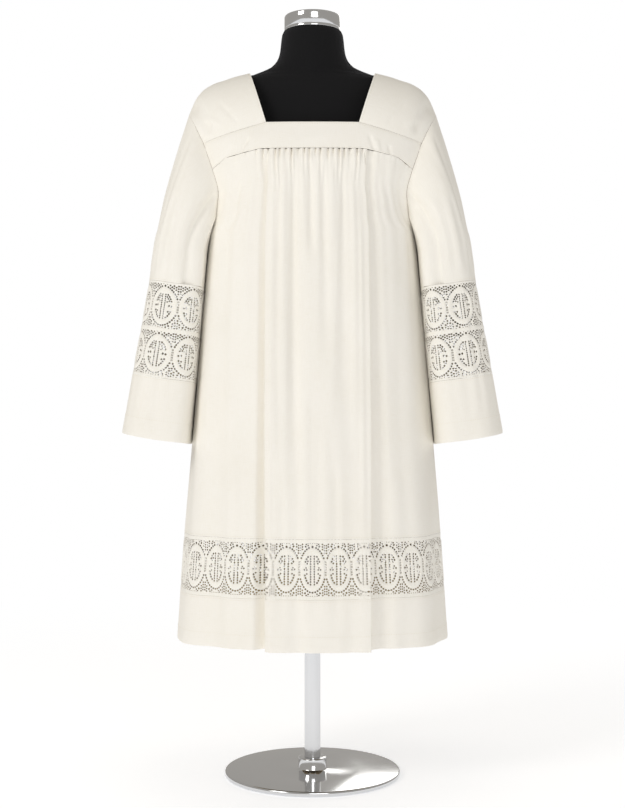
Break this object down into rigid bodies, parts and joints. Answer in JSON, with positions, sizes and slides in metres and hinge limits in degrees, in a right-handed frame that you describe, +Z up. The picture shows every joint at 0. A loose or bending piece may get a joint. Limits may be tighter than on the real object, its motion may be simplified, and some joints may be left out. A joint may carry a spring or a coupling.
{
  "type": "surplice on a dress form",
  "caption": "Ivory surplice with a square yoke neck, gathered body, wide sleeves and cutwork lace bands, worn by a black dress form with a chrome cap on a pole stand.",
  "frame": {"origin": "middle of the underside of the stand's round base", "axes": "+Z up along the pole, -Y out of the garment's front, +X towards the wearer's left sleeve"},
  "size_m": [0.7516, 0.4006, 1.513],
  "materials": {
    "ivory_cloth": "matte plain woven",
    "ivory_lace": "matte tape lace",
    "black_jersey": "matte knit",
    "chrome": "polished"
  },
  "bodies": {
    "root": {"body_front": "ivory_cloth", "body_back": "ivory_cloth", "hem_lace_front": "ivory_lace", "hem_lace_back": "ivory_lace", "hem_band_front": "ivory_cloth", "hem_band_back": "ivory_cloth", "yoke_band_front": "ivory_cloth", "yoke_band_back": "ivory_cloth", "yoke_left": "ivory_cloth", "yoke_right": "ivory_cloth", "sleeve_left_upper": "ivory_cloth", "sleeve_right_upper": "ivory_cloth", "sleeve_left_lace_front": "ivory_lace", "sleeve_left_lace_back": "ivory_lace", "sleeve_right_lace_front": "ivory_lace", "sleeve_right_lace_back": "ivory_lace", "sleeve_left_cuff": "ivory_cloth", "sleeve_right_cuff": "ivory_cloth", "form_torso": "black_jersey", "form_neck_cap": "chrome", "form_pole": "chrome", "form_base": "chrome"}
  },
  "joints": []
}
